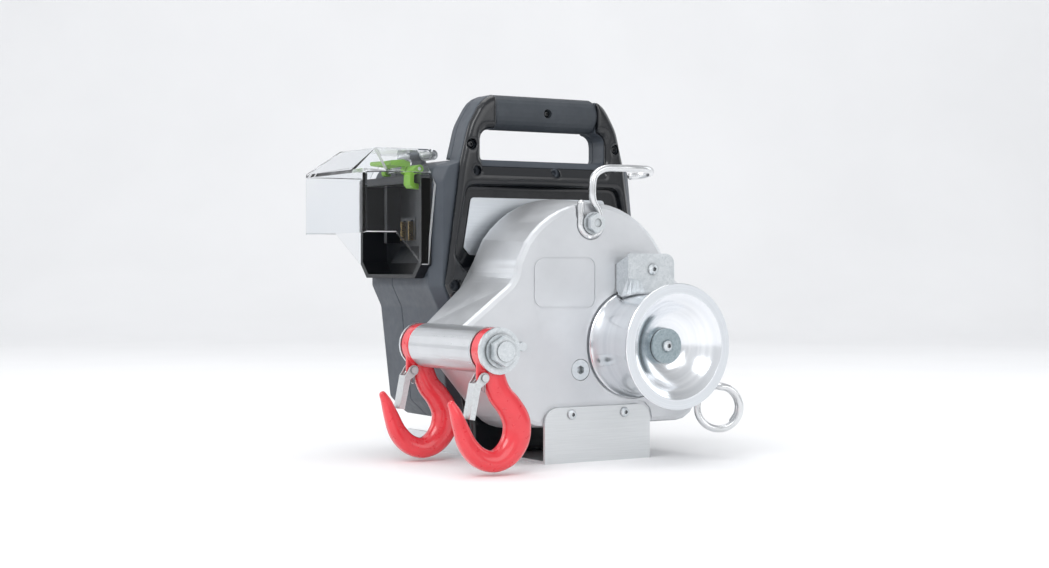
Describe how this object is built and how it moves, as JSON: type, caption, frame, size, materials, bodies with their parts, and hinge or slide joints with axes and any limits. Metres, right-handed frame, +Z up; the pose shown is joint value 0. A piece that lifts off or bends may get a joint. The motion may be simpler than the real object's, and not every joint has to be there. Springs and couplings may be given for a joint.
{
  "type": "wire rope puller",
  "caption": "Battery-driven portable capstan rope puller: drum on an aluminium gear case, moulded housing with handle, battery dock under a clear cover, two anchor hooks and rope guides.",
  "frame": {"origin": "on the underside of the base plate, straight below the gear case's round end and level with its rear lip", "axes": "+Z up when the puller stands on its base plate, -Y along the drum axis out of the front, -X towards the battery dock and the hooks"},
  "size_m": [0.2734, 0.2573, 0.2832],
  "materials": {
    "cast_aluminium": "satin cast and bead-blasted",
    "turned_aluminium": "turned and polished",
    "zinc": "bright zinc plating",
    "steel": "bright steel",
    "red_paint": "gloss red paint on forged steel",
    "black_plastic": "gloss black moulding",
    "grey_plastic": "fine matt dark blue-grey moulding",
    "grip_rubber": "finely textured soft grip",
    "green_plastic": "satin green moulding",
    "clear_plastic": "clear polycarbonate",
    "silver_label": "plain silver plate",
    "brass": "plain brass contact"
  },
  "bodies": {
    "housing": {"gear_case": "cast_aluminium", "gear_case_cover": "cast_aluminium", "bearing_plate": "cast_aluminium", "base_screw_1": "zinc", "base_screw_2": "zinc", "rope_keeper": "zinc", "keeper_screw": "zinc", "upper_hook_bolt": "zinc", "lower_ring_bolt": "zinc", "anchor_washer_front": "zinc", "anchor_washer_inner": "zinc", "anchor_washer_rear": "zinc", "anchor_bolt": "zinc", "anchor_nut": "zinc", "oil_plug": "zinc", "vent_plug": "zinc", "output_bearing_front": "steel", "output_bearing_rear": "steel", "motor": "steel", "latch_pin": "steel", "cover_hinge_pin": "steel", "base_plate": "steel", "upper_rope_hook": "steel", "lower_rope_ring": "steel", "front_shell": "black_plastic", "grip_screw": "black_plastic", "post_screw_1": "black_plastic", "post_screw_2": "black_plastic", "battery_dock": "black_plastic", "middle_shell": "grey_plastic", "handle_rear_shell": "grey_plastic", "rear_shell": "grey_plastic", "handle_grip": "grip_rubber", "control_board": "green_plastic", "label_plate": "silver_label", "dock_terminal_1": "brass", "dock_terminal_2": "brass"},
    "drum": {"capstan_drum": "turned_aluminium", "drum_washer": "zinc", "drum_screw": "zinc", "output_shaft": "steel", "output_gear": "steel"},
    "intermediate": {"intermediate_shaft": "steel", "intermediate_gear": "steel", "intermediate_pinion": "steel"},
    "rotor": {"motor_shaft": "steel", "motor_pinion": "steel"},
    "front_anchor_hook": {"front_hook": "red_paint", "front_latch_pin": "zinc", "front_latch_spring": "steel"},
    "front_latch": {"front_hook_latch": "zinc"},
    "rear_anchor_hook": {"rear_hook": "red_paint", "rear_latch_pin": "zinc", "rear_latch_spring": "steel"},
    "rear_latch": {"rear_hook_latch": "zinc"},
    "cover": {"battery_cover": "clear_plastic"},
    "battery_latch": {"latch_lever": "green_plastic", "battery_pawl": "green_plastic"},
    "button": {"start_button": "green_plastic"},
    "dial": {"speed_dial": "black_plastic"}
  },
  "joints": [
    {"name": "drum_spin", "type": "hinge", "parent": "housing", "child": "drum", "pos_m": [0.036, -0.1199, 0.0886], "axis": [0, 1, 0], "continuous": true},
    {"name": "intermediate_spin", "type": "hinge", "parent": "housing", "child": "intermediate", "pos_m": [0, -0.03, 0.1229], "axis": [0, 1, 0], "continuous": true},
    {"name": "rotor_spin", "type": "hinge", "parent": "housing", "child": "rotor", "pos_m": [-0.032, -0.0125, 0.06177], "axis": [0, 1, 0], "continuous": true},
    {"name": "front_hook_swing", "type": "hinge", "parent": "housing", "child": "front_anchor_hook", "pos_m": [-0.111, -0.1006, 0.0886], "axis": [0, 1, 0], "continuous": true},
    {"name": "front_latch_swing", "type": "hinge", "parent": "front_anchor_hook", "child": "front_latch", "pos_m": [-0.1216, -0.1006, 0.0697], "axis": [0, 1, 0], "range_deg": [-40, 0], "stiffness_Nm_per_rad": 0.02, "springref_deg": 34.38},
    {"name": "rear_hook_swing", "type": "hinge", "parent": "housing", "child": "rear_anchor_hook", "pos_m": [-0.111, 0.0076, 0.0886], "axis": [0, 1, 0], "range_deg": [-7, 150]},
    {"name": "rear_latch_swing", "type": "hinge", "parent": "rear_anchor_hook", "child": "rear_latch", "pos_m": [-0.1216, 0.0076, 0.0697], "axis": [0, 1, 0], "range_deg": [-40, 0], "stiffness_Nm_per_rad": 0.02, "springref_deg": 34.38},
    {"name": "cover_lift", "type": "hinge", "parent": "housing", "child": "cover", "pos_m": [-0.083, 0.0705, 0.236], "axis": [0, 1, 0], "range_deg": [0, 110]},
    {"name": "battery_latch_tilt", "type": "hinge", "parent": "housing", "child": "battery_latch", "pos_m": [-0.104, 0.07, 0.223], "axis": [0, 1, 0], "range_deg": [0, 15], "stiffness_Nm_per_rad": 0.05, "springref_deg": -22.92},
    {"name": "start_button_press", "type": "slide", "parent": "housing", "child": "button", "axis": [0, -1, 0], "range_m": [0, 0.002], "stiffness_N_per_m": 300, "springref_m": -0.0005},
    {"name": "speed_dial_turn", "type": "hinge", "parent": "housing", "child": "dial", "pos_m": [0.03, 0.127, 0.196], "axis": [0, 1, 0], "range_deg": [0, 270]}
  ],
  "couplings": [
    {"joint": "intermediate_spin", "follows": "drum_spin", "ratio": -3.3333},
    {"joint": "rotor_spin", "follows": "drum_spin", "ratio": 13.333}
  ]
}
